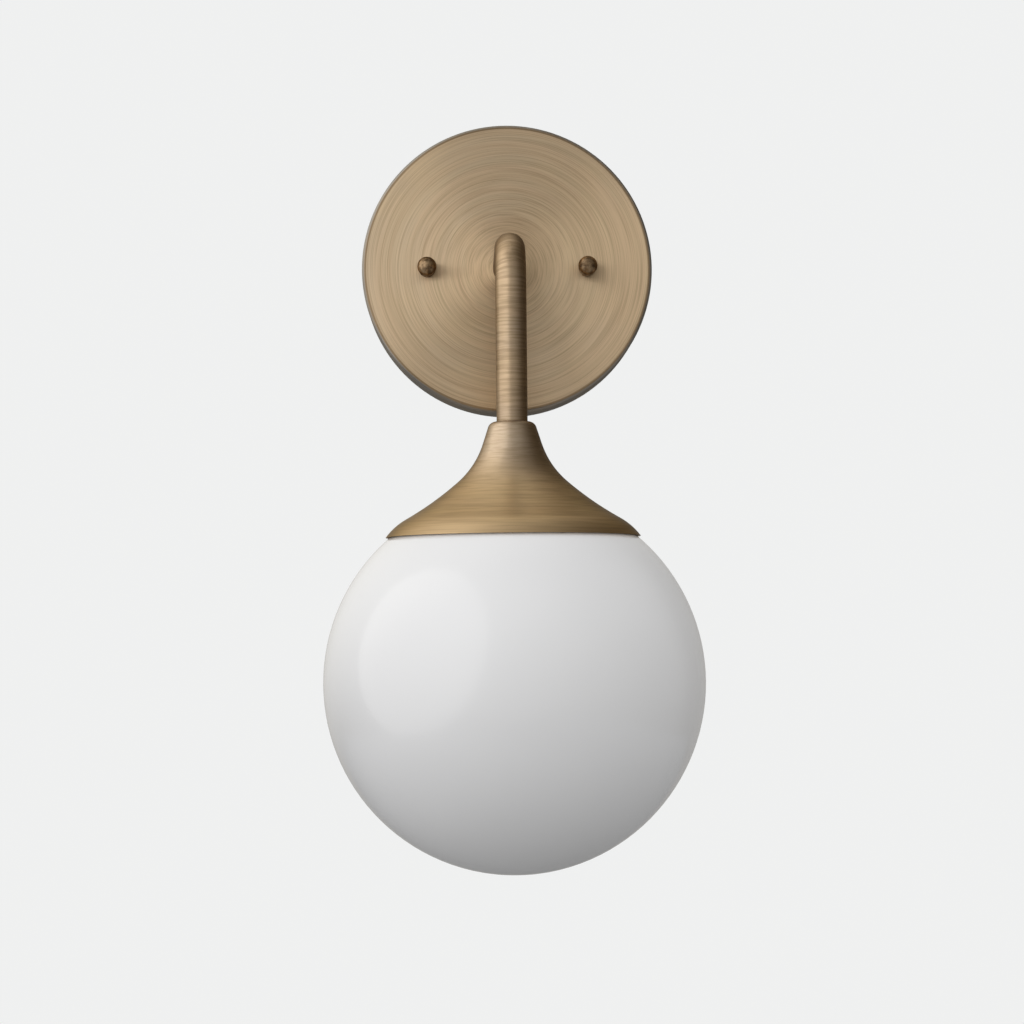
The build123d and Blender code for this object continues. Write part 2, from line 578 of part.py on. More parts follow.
def make_centre_contact():
    """Tongue riveted under the cavity's roof and bent down over the axis."""
    roof = SOCKET_CAVITY_TOP
    under = roof - CONTACT_THICKNESS
    foot_end = -SOCKET_RIVET_PLACE - SOCKET_RIVET_HEAD
    bend = -SOCKET_RIVET_PLACE + SOCKET_RIVET_HEAD
    side_view = Polyline(
        (foot_end, roof), (foot_end, under), (bend, under), (bend + CONTACT_DROP, CONTACT_FACE),
        (CONTACT_REACH, CONTACT_FACE), (CONTACT_REACH, CONTACT_FACE + CONTACT_THICKNESS),
        (bend + CONTACT_DROP + CONTACT_THICKNESS / 2, CONTACT_FACE + CONTACT_THICKNESS),
        (bend + CONTACT_THICKNESS / 2, roof), close=True,
    )
    tongue = extrude(Plane.XZ * make_face(side_view), CONTACT_WIDTH / 2, both=True)
    return tongue - Pos(-SOCKET_RIVET_PLACE, 0, 0) * rod(SOCKET_RIVET_RADIUS, under, roof)


def make_socket_rivet():
    """Head under the tab or tongue, shank up to the end of a lead."""
    under = SOCKET_CAVITY_TOP - CONTACT_THICKNESS
    head = rod(SOCKET_RIVET_HEAD, under - SOCKET_RIVET_HEAD_HEIGHT, under)
    head = fillet(bottom_edges(head), SOCKET_RIVET_HEAD_HEIGHT * 0.6)
    return head + rod(SOCKET_RIVET_RADIUS - SNUG_FIT, under, LEAD_HOLE_BOTTOM)


socket_screw = slotted_screw(
    SOCKET_SCREW_HEAD, SOCKET_SCREW_HEAD_HEIGHT, SOCKET_SCREW_RADIUS - SNUG_FIT, SOCKET_SCREW_DEPTH
)
socket_rivet = make_socket_rivet()
parts["socket_strap"] = [over_rim() * make_socket_strap()]
parts["socket_body"] = [over_rim() * make_socket_body()]
parts["screw_shell"] = [over_rim() * make_screw_shell()]
parts["centre_contact"] = [over_rim() * make_centre_contact()]
parts["socket_rivets"] = []
parts["socket_screws"] = []
for side in SIDES.values():
    parts["socket_rivets"].append(over_rim() * Pos(side * SOCKET_RIVET_PLACE, 0, 0) * socket_rivet)
    screw_place = over_rim(STRAP_FOOT_TOP) * Pos(0, side * SOCKET_SCREW_PLACE, 0)
    parts["socket_screws"].append(screw_place * socket_screw)


# ---------------------------------------------------------------- bulb
def thread_arcs(mean_radius):
    """Rolled thread seen in section, from the base's top down, as ridge and groove arcs."""
    arcs = []
    for half_turn in range(2 * BASE_TURNS):
        upper = BASE_TOP - half_turn * BASE_PITCH / 2
        lower = upper - BASE_PITCH / 2
        bulge = BASE_THREAD_DEPTH / 2 * (-1) ** half_turn
        middle = (mean_radius + bulge, (upper + lower) / 2)
        arcs.append(ThreePointArc((mean_radius, upper), middle, (mean_radius, lower)))
    return arcs


def make_bulb_base():
    outer = BASE_MEAN_RADIUS
    inner = BASE_MEAN_RADIUS - BASE_WALL
    section = thread_arcs(outer) + thread_arcs(inner)
    section.append(Line((outer, BASE_TOP), (inner, BASE_TOP)))
    section.append(Line((outer, BASE_SKIRT_TOP), (outer, BASE_BOTTOM)))
    section.append(Line((outer, BASE_BOTTOM), (inner, BASE_BOTTOM)))
    section.append(Line((inner, BASE_BOTTOM), (inner, BASE_SKIRT_TOP)))
    return revolve(Plane.XZ * make_face(section), Axis.Z)


def make_bulb_insulator():
    return turned(
        (0, BASE_TOP), (BASE_RADIUS - INSULATOR_INSET, BASE_TOP),
        (TIP_RADIUS + INSULATOR_LAND, BULB_TIP_BOTTOM), (0, BULB_TIP_BOTTOM),
    )


def make_bulb_tip():
    button = rod(TIP_RADIUS, BULB_TIP_BOTTOM, BULB_TIP_TOP)
    return fillet(top_edges(button), TIP_HEIGHT * 0.8)


def bulb_skin(inset):
    """Tubular envelope with its neck inside the base, drawn in by inset."""
    neck = BULB_NECK_RADIUS - inset
    wide = BULB_RADIUS - inset
    shoulder = BASE_BOTTOM - BULB_SHOULDER
    dome_start = BASE_BOTTOM - BULB_LENGTH + BULB_RADIUS
    outline = [
        Line((0, BASE_SKIRT_TOP), (neck, BASE_SKIRT_TOP)),
        Line((neck, BASE_SKIRT_TOP), (neck, BASE_BOTTOM)),
        Spline((neck, BASE_BOTTOM), (wide, shoulder), tangents=((0, -1), (0, -1))),
        Line((wide, shoulder), (wide, dome_start)),
        CenterArc((0, dome_start), wide, 0, -90),
        Line((0, dome_start - wide), (0, BASE_SKIRT_TOP)),
    ]
    return revolve(Plane.XZ * make_face(outline), Axis.Z)


def make_bulb_stem():
    flare_radius = BULB_NECK_RADIUS - BULB_WALL - STEM_FLARE_GAP
    stem = turned(
        (0, BASE_SKIRT_TOP), (flare_radius, BASE_SKIRT_TOP), (flare_radius, BASE_BOTTOM),
        (STEM_RADIUS, BASE_BOTTOM - STEM_FLARE_LENGTH), (STEM_RADIUS, STEM_TIP), (0, STEM_TIP),
    )
    return fillet(bottom_edges(stem), STEM_RADIUS * 0.6)


def make_support(height):
    """Wires that reach out from the axis to the filaments' ends."""
    cross = Pos(0, 0, height) * Sphere(2 * WIRE_RADIUS)
    for turn in around(FILAMENT_COUNT):
        cross += Pos(0, 0, height) * turn * Rot(0, 90, 0) * rod(WIRE_RADIUS, 0, FILAMENT_CIRCLE)
    return cross


def make_bulb_wires():
    """Upper wires out of the stem, and a lower cross on a wire that hangs from the stem's tip."""
    upper = make_support(FILAMENT_TOP + WIRE_RADIUS) - rod(STEM_RADIUS, STEM_TIP, FILAMENT_TOP + STEM_RADIUS)
    lower = make_support(FILAMENT_BOTTOM - WIRE_RADIUS) + rod(WIRE_RADIUS, FILAMENT_BOTTOM, STEM_TIP)
    return [over_rim() * wire for wire in upper.solids() + lower.solids()]


filament = Pos(FILAMENT_CIRCLE, 0, 0) * rod(FILAMENT_RADIUS, FILAMENT_BOTTOM, FILAMENT_TOP)
parts["bulb_base"] = [over_rim() * make_bulb_base()]
parts["bulb_insulator"] = [over_rim() * make_bulb_insulator()]
parts["bulb_tip"] = [over_rim() * make_bulb_tip()]
parts["bulb_glass"] = [over_rim() * (bulb_skin(0) - bulb_skin(BULB_WALL))]
parts["bulb_stem"] = [over_rim() * make_bulb_stem()]
parts["bulb_filaments"] = [over_rim() * turn * filament for turn in around(FILAMENT_COUNT)]
parts["bulb_wires"] = make_bulb_wires()


# ---------------------------------------------------------------- wiring
def barrel_start(head_radius):
    return head_radius + TERMINAL_HEAD_GAP


def make_ring_terminal(hole_radius, head_radius):
    """Flat ring on z = 0 with a crimp barrel towards +X, clear of the head or nut on it."""
    start = barrel_start(head_radius)
    plate = rod(hole_radius + TERMINAL_RING, 0, TERMINAL_THICKNESS)
    plate += Box(
        start + BARREL_END, 2 * BARREL_RADIUS, TERMINAL_THICKNESS, align=(Align.MIN, Align.CENTER, Align.MIN)
    )
    barrel = rod(BARREL_RADIUS, start, start + BARREL_LENGTH)
    barrel -= rod(LEAD_RADIUS + SNUG_FIT, start + BARREL_END, start + BARREL_LENGTH)
    plate += Pos(0, 0, BARREL_RADIUS) * Rot(0, 90, 0) * barrel
    return plate - rod(hole_radius, 0, TERMINAL_THICKNESS)


def make_connector():
    """Twist-on connector, mouth up at z = 0: a ribbed cap with a funnel and a grip for two wires."""
    grip_radius = 2 * (LEAD_RADIUS + SNUG_FIT)
    wall = CONNECTOR_TIP_RADIUS - grip_radius
    cap = turned(
        (0, -CONNECTOR_LENGTH), (CONNECTOR_TIP_RADIUS, -CONNECTOR_LENGTH),
        (CONNECTOR_RADIUS, -CONNECTOR_RIM), (CONNECTOR_RADIUS, 0), (0, 0),
    )
    cap = fillet(bottom_edges(cap), wall)
    cap -= turned(
        (0, -CONNECTOR_BORE_DEPTH), (grip_radius, -CONNECTOR_BORE_DEPTH), (grip_radius, -CONNECTOR_FUNNEL),
        (CONNECTOR_RADIUS - wall, 0), (0, 0),
    )
    groove_place = CONNECTOR_RADIUS - CONNECTOR_GROOVE_DEPTH + CONNECTOR_GROOVE_RADIUS
    groove = Pos(groove_place, 0, 0) * rod(CONNECTOR_GROOVE_RADIUS, -CONNECTOR_LENGTH, 0)
    for turn in around(CONNECTOR_RIBS):
        cap -= turn * groove
    return cap


def main_lead(side):
    """From a socket rivet, up the nipple and the arm, into the backplate and its connector."""
    rivet_x = side * SOCKET_RIVET_PLACE
    inner_x = side * LEAD_SPREAD
    outer_x = side * CONNECTOR_PLACE
    y = -LEAD_WALL_DISTANCE
    points = [
        (rivet_x, -ARM_REACH, RIM_Z + LEAD_HOLE_BOTTOM),
        (rivet_x, -ARM_REACH, RIM_Z + SOCKET_TOP + 2.5),
        (inner_x, -ARM_REACH, RIM_Z + HOLDER_NIPPLE_BOTTOM - 1.0),
        (inner_x, -ARM_REACH, 0),
        (inner_x, y, 0),
        (outer_x - side * 6.0, y, -5.0),
        (outer_x, y, -CONNECTOR_DROP + 7.0),
        (outer_x, y, -CONNECTOR_DROP - 9.0),
    ]
    return lead(points, [SOCKET_LEAD_BEND, SOCKET_LEAD_BEND, BEND_RADIUS, LEAD_BEND, LEAD_BEND, LEAD_BEND])


def ground_lead():
    """Loop from the ring terminal on the rear nipple to the one under the earth screw."""
    rear_y = -(REAR_TERMINAL_BACK + TERMINAL_THICKNESS - BARREL_RADIUS)
    front_y = -(BRACKET_THICKNESS + BARREL_RADIUS)
    rear_x = -(barrel_start(NUT_FLATS / sqrt(3)) + BARREL_END)
    front_x = -(barrel_start(GROUND_HEAD_RADIUS) + BARREL_END)
    points = [
        (rear_x, rear_y, 0),
        (-GROUND_LOOP_PLACE, rear_y, 0),
        (-GROUND_LOOP_PLACE, front_y, GROUND_SCREW_HEIGHT),
        (front_x, front_y, GROUND_SCREW_HEIGHT),
    ]
    return lead(points, [LEAD_BEND, LEAD_BEND])


ground_seat = BRACKET_THICKNESS + TERMINAL_THICKNESS
ground_screw = slotted_screw(GROUND_HEAD_RADIUS, GROUND_HEAD_HEIGHT, GROUND_SCREW_RADIUS, ground_seat)
screw_terminal = Rot(0, 0, 180) * make_ring_terminal(GROUND_BORE_RADIUS, GROUND_HEAD_RADIUS)
nipple_terminal = Rot(0, 0, 180) * make_ring_terminal(NIPPLE_HOLE_RADIUS, NUT_FLATS / sqrt(3))
parts["lead_black"] = [main_lead(1)]
parts["lead_white"] = [main_lead(-1)]
parts["wire_connectors"] = []
for side in SIDES.values():
    connector_x = side * (CONNECTOR_PLACE + LEAD_RADIUS + SNUG_FIT)
    place = Pos(connector_x, -LEAD_WALL_DISTANCE, -CONNECTOR_DROP)
    parts["wire_connectors"].append(place * make_connector())
parts["ground_lead"] = [ground_lead()]
parts["ground_screw"] = [from_wall(ground_seat, z=GROUND_SCREW_HEIGHT) * ground_screw]
parts["ground_terminals"] = [
    from_wall(BRACKET_THICKNESS, z=GROUND_SCREW_HEIGHT) * screw_terminal,
    Pos(0, -REAR_TERMINAL_BACK - TERMINAL_THICKNESS, 0) * Rot(-90, 0, 0) * nipple_terminal,
]


# ---------------------------------------------------------------- output
os.makedirs("parts", exist_ok=True)
for name, shapes in parts.items():
    solids = [solid for shape in shapes for solid in shape.solids()]
    model = solids[0] if len(solids) == 1 else Compound(children=solids)
    export_step(model, "parts/" + name + ".step")
    print(name, len(solids), round(sum(solid.volume for solid in solids), 1))
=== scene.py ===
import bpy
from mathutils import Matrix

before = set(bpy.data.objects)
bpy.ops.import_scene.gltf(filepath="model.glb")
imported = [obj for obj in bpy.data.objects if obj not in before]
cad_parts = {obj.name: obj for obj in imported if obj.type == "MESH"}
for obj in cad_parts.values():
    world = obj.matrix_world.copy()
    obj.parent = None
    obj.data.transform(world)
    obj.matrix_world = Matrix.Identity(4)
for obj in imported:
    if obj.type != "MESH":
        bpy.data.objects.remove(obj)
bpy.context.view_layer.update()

from math import cos, pi, radians, sin

import bpy
from mathutils import Matrix, Vector

# Globe wall sconce: looks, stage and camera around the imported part.
# Metres.  +Z is up and +Y points into the wall.

# ---------------------------------------------------------------- places
ARM_REACH = 0.088             # wall to the drop's axis
BEND_RADIUS = 0.019
PLATE_RADIUS, PLATE_DEPTH = 0.0635, 0.019
# Between these heights a painted reflection on the bell fades from gold at the flare to grey
# at the neck.
FADE_BOTTOM, FADE_TOP = -0.104, -0.082    # heights on the bell, from its flare to its neck

# ---------------------------------------------------------------- node trees
MIX_SHARE, MIX_FIRST, MIX_SECOND, MIX_RESULT = 0, 6, 7, 2    # a Mix node's colour sockets
SAFE_RADIUS = 1e-5            # keeps a division by a radius clear of zero


class Graph:
    """A node tree whose calls add nodes and return their output."""

    def __init__(self, tree):
        self.tree = tree

    def add(self, kind, **settings):
        node = self.tree.nodes.new(kind)
        for name, value in settings.items():
            setattr(node, name, value)
        return node

    def feed(self, socket, value):
        if isinstance(value, bpy.types.NodeSocket):
            self.tree.links.new(value, socket)
        else:
            socket.default_value = value

    def math(self, operation, *values):
        node = self.add("ShaderNodeMath", operation=operation)
        for socket, value in zip(node.inputs, values):
            self.feed(socket, value)
        return node.outputs[0]

    def split(self, vector):
        node = self.add("ShaderNodeSeparateXYZ")
        self.feed(node.inputs[0], vector)
        return node.outputs

    def join(self, *values):
        node = self.add("ShaderNodeCombineXYZ")
        for socket, value in zip(node.inputs, values):
            self.feed(socket, value)
        return node.outputs[0]

    def noise(self, vector, scale=1.0, detail=2.0, roughness=0.5):
        node = self.add("ShaderNodeTexNoise")
        self.feed(node.inputs["Vector"], vector)
        self.feed(node.inputs["Scale"], scale)
        self.feed(node.inputs["Detail"], detail)
        self.feed(node.inputs["Roughness"], roughness)
        return node.outputs[0]

    def remap(self, value, low, high, to_low=0.0, to_high=1.0, kind="SMOOTHSTEP"):
        node = self.add("ShaderNodeMapRange", interpolation_type=kind)
        for socket, v in zip(node.inputs, (value, low, high, to_low, to_high)):
            self.feed(socket, v)
        return node.outputs[0]

    def blend(self, share, first, second):
        """From the first colour at a share of 0 to the second at 1."""
        node = self.add("ShaderNodeMix", data_type="RGBA")
        for index, value in ((MIX_SHARE, share), (MIX_FIRST, first), (MIX_SECOND, second)):
            self.feed(node.inputs[index], (*value, 1) if isinstance(value, tuple) else value)
        return node.outputs[MIX_RESULT]

    def by_ray(self, diffuse, glossy, clear):
        """One colour for diffuse rays, one for glossy ones, and one for the rays
        that come from the camera or through glass."""
        path = self.add("ShaderNodeLightPath").outputs
        seen = self.math("MAXIMUM", path["Is Camera Ray"], path["Is Transmission Ray"])
        return self.blend(seen, self.blend(path["Is Glossy Ray"], diffuse, glossy), clear)


class Paint(Graph):
    """A material round one Principled shader."""

    def __init__(self, name, **sockets):
        self.material = bpy.data.materials.new(name)
        self.material.use_nodes = True
        super().__init__(self.material.node_tree)
        self.shader = self.tree.nodes["Principled BSDF"]
        for socket, value in sockets.items():
            self.shader.inputs[socket.replace("_", " ")].default_value = value
        self.place = self.add("ShaderNodeTexCoord").outputs["Object"]

    def around(self, a, b, along, turns, pitch):
        """Coordinates for streaks that run round an axis, and the distance from it.
        a and b lie square to the axis.  Where along is None, the streaks are rings
        that follow one another outwards, not along the axis."""
        radius = self.math("SQRT", self.math("ADD", self.math("MULTIPLY", a, a),
                                             self.math("MULTIPLY", b, b)))
        safe = self.math("MAXIMUM", radius, SAFE_RADIUS)
        step = self.math("MULTIPLY", radius if along is None else along, pitch)
        where = self.join(self.math("MULTIPLY", self.math("DIVIDE", a, safe), turns),
                          self.math("MULTIPLY", self.math("DIVIDE", b, safe), turns),
                          step)
        return where, radius

    def colour(self, value):
        self.feed(self.shader.inputs["Base Color"], value)

    def rough(self, value):
        self.feed(self.shader.inputs["Roughness"], value)

    def bump(self, height, distance, strength):
        node = self.add("ShaderNodeBump")
        self.feed(node.inputs["Strength"], strength)
        self.feed(node.inputs["Distance"], distance)
        self.feed(node.inputs["Height"], height)
        self.feed(self.shader.inputs["Normal"], node.outputs[0])

    def grain_round(self, axis):
        """Turn the anisotropic gloss round an axis of the piece."""
        node = self.add("ShaderNodeTangent", direction_type="RADIAL", axis=axis)
        self.feed(self.shader.inputs["Tangent"], node.outputs[0])


# ---------------------------------------------------------------- brushed brass
TAN = (0.56, 0.415, 0.268)
GREY_TAN = (0.50, 0.385, 0.270)
PINK_TAN = (0.53, 0.375, 0.245)
OLIVE = (0.42, 0.320, 0.190)
BROWN = (0.30, 0.212, 0.128)
# Gold and pale grey: the bell's painted reflection, gold at the flare and grey at the neck.
GOLD = (0.65, 0.475, 0.265)
PALE_GREY = (0.60, 0.49, 0.37)
# The backplate's tones: lighter copies of the brass tones above for the same metal, painted
# light that stands in for the brighter gloss the plate catches.
PLATE_LIT_TAN = (0.82, 0.630, 0.405)
PLATE_LIT_GREY = (0.75, 0.590, 0.405)
PLATE_LIT_PINK = (0.78, 0.575, 0.375)
PLATE_LIT_OLIVE = (0.62, 0.490, 0.300)
PLATE_LIT_BROWN = (0.45, 0.330, 0.200)
# Painted shade for the backplate's rounded edge and side: a dark tone, a lighter one and
# spots.
SIDE_SHADE_DARK = (0.25, 0.232, 0.210)
SIDE_SHADE_LIGHT = (0.40, 0.362, 0.310)
SIDE_SHADE_SPOT = (0.44, 0.365, 0.275)
LINE_BROWN = (0.22, 0.145, 0.080)
BRASS_EDGE_TINT = (0.25, 0.25, 0.25, 1)

# Layers of streaks, coarse first: (turns, pitch, low, high, strength, colour).
BELL_STREAKS = [(0.6, 130.0, 0.40, 0.66, 0.25, PINK_TAN),
                (1.0, 520.0, 0.34, 0.60, 0.25, OLIVE),
                (1.6, 1500.0, 0.30, 0.58, 0.30, BROWN)]
PLATE_STREAKS = [(0.35, 120.0, 0.38, 0.64, 0.60, PLATE_LIT_PINK),
                 (0.5, 380.0, 0.34, 0.60, 0.22, PLATE_LIT_OLIVE),
                 (0.8, 1100.0, 0.30, 0.56, 0.26, PLATE_LIT_BROWN),
                 (1.2, 2400.0, 0.30, 0.56, 0.45, PLATE_LIT_BROWN)]
ARM_STREAKS = [(0.2, 70.0, 0.38, 0.64, 0.20, PINK_TAN),
               (0.3, 520.0, 0.34, 0.60, 0.22, OLIVE),
               (0.5, 1500.0, 0.34, 0.60, 0.50, BROWN)]
STREAK_ROUGHNESS = 0.6        # of the noise that makes the streaks
STREAK_DEPTH, STREAK_BUMP = 0.00002, 0.4
DULLER, GLOSSIER = 0.05, 0.04    # how far the streaks move the gloss each way
FADE_SHARE = 0.8

# Painted shade round the backplate's edge and side: its streaks, and how far inside
# the plate's outline and behind its face each change begins and ends.
SIDE_TURNS, SIDE_PITCH = 1.2, 1500.0
LINE_BEGINS, LINE_ENDS = 0.0022, 0.0015
EDGE_BEGINS, EDGE_ENDS = 0.0013, 0.0008
SIDE_BEGINS, SIDE_ENDS = 0.0018, 0.0010
LINE_SHARE = 0.75


def brushed_brass(name, axes, layers, wash, roughness, anisotropy, tones=(GREY_TAN, TAN),
                  fade=None, painted_shade=None):
    """Antique brass brushed round an axis; the finest layer also roughens and lifts it.
    wash: scale of the clouds between the two tones.
    fade: (bottom, top, lower colour, upper colour)."""
    paint = Paint(name, Metallic=1.0, Anisotropic=anisotropy, Anisotropic_Rotation=0.25,
                  Specular_Tint=BRASS_EDGE_TINT)
    place = paint.split(paint.place)
    a, b, along = axes(paint, *place)
    cloud = paint.noise(paint.place, scale=wash, detail=3.0)
    tone = paint.blend(paint.remap(cloud, 0.35, 0.65), *tones)
    # A painted reflection: the colour changes with height from the lower colour to the upper
    # one, laid over most of the tone.
    if fade:
        bottom, top, lower, upper = fade
        height = place[2]
        tone = paint.blend(FADE_SHARE, tone,
                           paint.blend(paint.remap(height, bottom, top), lower, upper))
    for turns, pitch, low, high, strength, colour in layers:
        where, radius = paint.around(a, b, along, turns, pitch)
        streak = paint.noise(where, roughness=STREAK_ROUGHNESS)
        tone = paint.blend(paint.remap(streak, low, high, strength, 0.0), tone, colour)
    # Shade painted on the backplate's edge and side, where it is given.
    if painted_shade:
        tone = painted_shade(paint, tone, place, radius)
    paint.colour(tone)
    paint.rough(paint.remap(streak, 0.25, 0.75, roughness + DULLER, roughness - GLOSSIER))
    paint.bump(streak, STREAK_DEPTH, STREAK_BUMP)
    return paint


def side_painted_shade(paint, tone, place, radius):
    """Painted shade on the backplate's rounded edge and side, darker and greyer and
    brushed round it, with a thin brown line just inside the edge."""
    x, y, z = place
    where, _ = paint.around(x, z, y, SIDE_TURNS, SIDE_PITCH)
    streak = paint.noise(where, roughness=STREAK_ROUGHNESS)
    mottle = paint.noise(paint.place, scale=60.0)
    # Painted shade: darker, greyer tones for the edge and side, with lighter spots.
    side_shade = paint.blend(paint.remap(streak, 0.32, 0.66), SIDE_SHADE_DARK, SIDE_SHADE_LIGHT)
    side_shade = paint.blend(paint.remap(mottle, 0.40, 0.65, 0.0, 0.35), side_shade, SIDE_SHADE_SPOT)
    line = paint.remap(radius, PLATE_RADIUS - LINE_BEGINS, PLATE_RADIUS - LINE_ENDS)
    tone = paint.blend(paint.math("MULTIPLY", line, LINE_SHARE), tone, LINE_BROWN)
    edge = paint.remap(radius, PLATE_RADIUS - EDGE_BEGINS, PLATE_RADIUS - EDGE_ENDS)
    side = paint.remap(y, SIDE_ENDS - PLATE_DEPTH, SIDE_BEGINS - PLATE_DEPTH)
    return paint.blend(paint.math("MAXIMUM", edge, side), tone, side_shade)


def plate_axes(paint, x, y, z):
    return x, z, None


def bell_axes(paint, x, y, z):
    return x, paint.math("ADD", y, ARM_REACH), z


def arm_axes(paint, x, y, z):
    """Round the tube, with the length along its centre line as the third."""
    bend_start = ARM_REACH - BEND_RADIUS
    out = paint.math("MULTIPLY", y, -1.0)
    past = paint.math("MAXIMUM", paint.math("SUBTRACT", out, bend_start), 0.0)
    above = paint.math("MAXIMUM", paint.math("ADD", z, BEND_RADIUS), 0.0)
    below = paint.math("MAXIMUM", paint.math("SUBTRACT", -BEND_RADIUS, z), 0.0)
    angle = paint.math("ARCTAN2", past, above)
    length = paint.math("ADD", paint.math("MINIMUM", out, bend_start),
                        paint.math("ADD", paint.math("MULTIPLY", angle, BEND_RADIUS), below))
    return x, paint.math("ADD", y, ARM_REACH), length


def bell_brass():
    # The bell's fade from gold to grey is painted reflection.
    paint = brushed_brass("brass_bell", bell_axes, BELL_STREAKS, wash=30.0,
                          roughness=0.38, anisotropy=0.4,
                          fade=(FADE_BOTTOM, FADE_TOP, GOLD, PALE_GREY))
    paint.grain_round("Z")
    return paint


# The backplate's brass carries painted shade on its rounded edge and side.
def plate_brass():
    # Its tones are lighter than the bell's and the arm's though the metal is the same:
    # painted light.
    paint = brushed_brass("brass_plate", plate_axes, PLATE_STREAKS, wash=24.0,
                          roughness=0.42, anisotropy=0.85, tones=(PLATE_LIT_GREY, PLATE_LIT_TAN),
                          painted_shade=side_painted_shade)
    paint.grain_round("Y")
    return paint


def arm_brass():
    paint = brushed_brass("brass_arm", arm_axes, ARM_STREAKS, wash=60.0,
                          roughness=0.40, anisotropy=0.3)
    paint.grain_round("Z")
    return paint


# ---------------------------------------------------------------- other materials
MIDDLE = (0.3, 0.7)           # between these lies most of a noise
PLATING_SCALE, SOLDER_SCALE = 260.0, 600.0    # of the clouds in a plated or soldered surface
MARKS_PER_CLOUD = 9
GLASS_IOR = 1.5


def dark_brass():
    """Aged brass: a dark, blotchy and slightly pitted oxide with paler specks."""
    paint = Paint("brass_dark", Metallic=1.0, Specular_Tint=(0.3, 0.3, 0.3, 1))
    blotch = paint.noise(paint.place, scale=420.0, detail=4.0, roughness=0.6)
    speck = paint.noise(paint.place, scale=1500.0)
    tone = paint.blend(paint.remap(blotch, 0.36, 0.66),
                       (0.15, 0.098, 0.055), (0.44, 0.300, 0.175))
    tone = paint.blend(paint.remap(speck, 0.56, 0.74, 0.0, 0.5), tone, (0.52, 0.39, 0.25))
    paint.colour(tone)
    paint.rough(paint.remap(blotch, *MIDDLE, 0.42, 0.30))
    paint.bump(blotch, 0.00012, 0.6)
    return paint


def metal(name, base, dark, rough, scale=PLATING_SCALE):
    """Plated or drawn metal with clouded plating and fine marks."""
    paint = Paint(name, Metallic=1.0)
    cloud = paint.noise(paint.place, scale=scale, detail=3.0, roughness=0.55)
    mark = paint.noise(paint.place, scale=scale * MARKS_PER_CLOUD)
    paint.colour(paint.blend(paint.remap(cloud, 0.34, 0.68), dark, base))
    paint.rough(paint.remap(mark, *MIDDLE, rough - 0.06, rough + 0.08))
    paint.bump(mark, 0.00002, 0.5)
    return paint


def plastic(name, base, worn, rough):
    """Moulded plastic or rubber: a slight mottle and a fine moulded grain."""
    paint = Paint(name)
    cloud = paint.noise(paint.place, scale=90.0)
    grain = paint.noise(paint.place, scale=500.0)
    paint.colour(paint.blend(paint.remap(cloud, *MIDDLE), base, worn))
    paint.rough(paint.remap(grain, *MIDDLE, rough - 0.05, rough + 0.07))
    paint.bump(grain, 0.00003, 0.35)
    return paint


def wavy_glass(paint, rough, rougher, scale):
    """The faint waves in a blown glass surface."""
    wave = paint.noise(paint.place, scale=scale, detail=1.0)
    paint.rough(paint.remap(wave, *MIDDLE, rough, rougher))
    paint.bump(wave, 0.0001, 0.1)
    return wave


def opal_glass():
    """White opal glass under a clear gloss."""
    paint = Paint("opal_glass", IOR=GLASS_IOR, Coat_Weight=0.5, Coat_Roughness=0.08)
    cloud = paint.noise(paint.place, scale=14.0)
    paint.colour(paint.blend(paint.remap(cloud, *MIDDLE),
                             (0.86, 0.86, 0.865), (0.88, 0.88, 0.885)))
    wavy_glass(paint, 0.20, 0.26, scale=60.0)
    return paint


def clear_glass():
    paint = Paint("glass_clear", Transmission_Weight=1.0, IOR=GLASS_IOR)
    wave = wavy_glass(paint, 0.03, 0.06, scale=120.0)
    tint = (0.97, 0.98, 0.98)
    paint.colour(paint.blend(wave, tint, tuple(0.98 * part for part in tint)))
    return paint


# Slot: (material, colour, darker colour, roughness), and the clouds' scale if it differs.
METALS = {
    "plain_brass": ("brass_plain", (0.78, 0.58, 0.28), (0.66, 0.47, 0.21), 0.28),
    "zinc_steel": ("steel_zinc", (0.66, 0.67, 0.66), (0.58, 0.59, 0.59), 0.34),
    "spring_steel": ("steel_spring", (0.58, 0.58, 0.59), (0.47, 0.46, 0.45), 0.26),
    "green_screw": ("steel_green", (0.10, 0.42, 0.18), (0.06, 0.30, 0.13), 0.34),
    "nickel": ("nickel", (0.70, 0.68, 0.64), (0.60, 0.58, 0.55), 0.2),
    "solder": ("solder", (0.64, 0.64, 0.65), (0.50, 0.50, 0.51), 0.3, SOLDER_SCALE),
}
# Slot: (material, colour, worn colour, roughness).
PLASTICS = {
    "black_plastic": ("nylon_black", (0.035, 0.035, 0.036), (0.06, 0.06, 0.06), 0.5),
    "black_insulation": ("lead_black", (0.03, 0.03, 0.032), (0.05, 0.05, 0.05), 0.4),
    "white_insulation": ("lead_white", (0.78, 0.77, 0.73), (0.72, 0.70, 0.66), 0.4),
    "socket_phenolic": ("phenolic", (0.04, 0.034, 0.032), (0.07, 0.06, 0.055), 0.3),
    "connector_plastic": ("nylon_orange", (0.78, 0.36, 0.08), (0.70, 0.31, 0.07), 0.42),
    "ground_copper": ("lead_green", (0.06, 0.30, 0.12), (0.08, 0.36, 0.15), 0.4),
    "silicone": ("silicone", (0.74, 0.74, 0.71), (0.68, 0.68, 0.65), 0.55),
    "black_glass": ("glass_black", (0.012, 0.012, 0.016), (0.02, 0.02, 0.024), 0.12),
    "filament_phosphor": ("phosphor", (0.90, 0.62, 0.16), (0.84, 0.55, 0.12), 0.6),
}
OTHERS = {"antique_brass": bell_brass, "aged_brass": dark_brass,
          "opal_glass": opal_glass, "clear_glass": clear_glass}
OWN = {"canopy": plate_brass, "arm_tube": arm_brass}    # nodes brushed in their own way


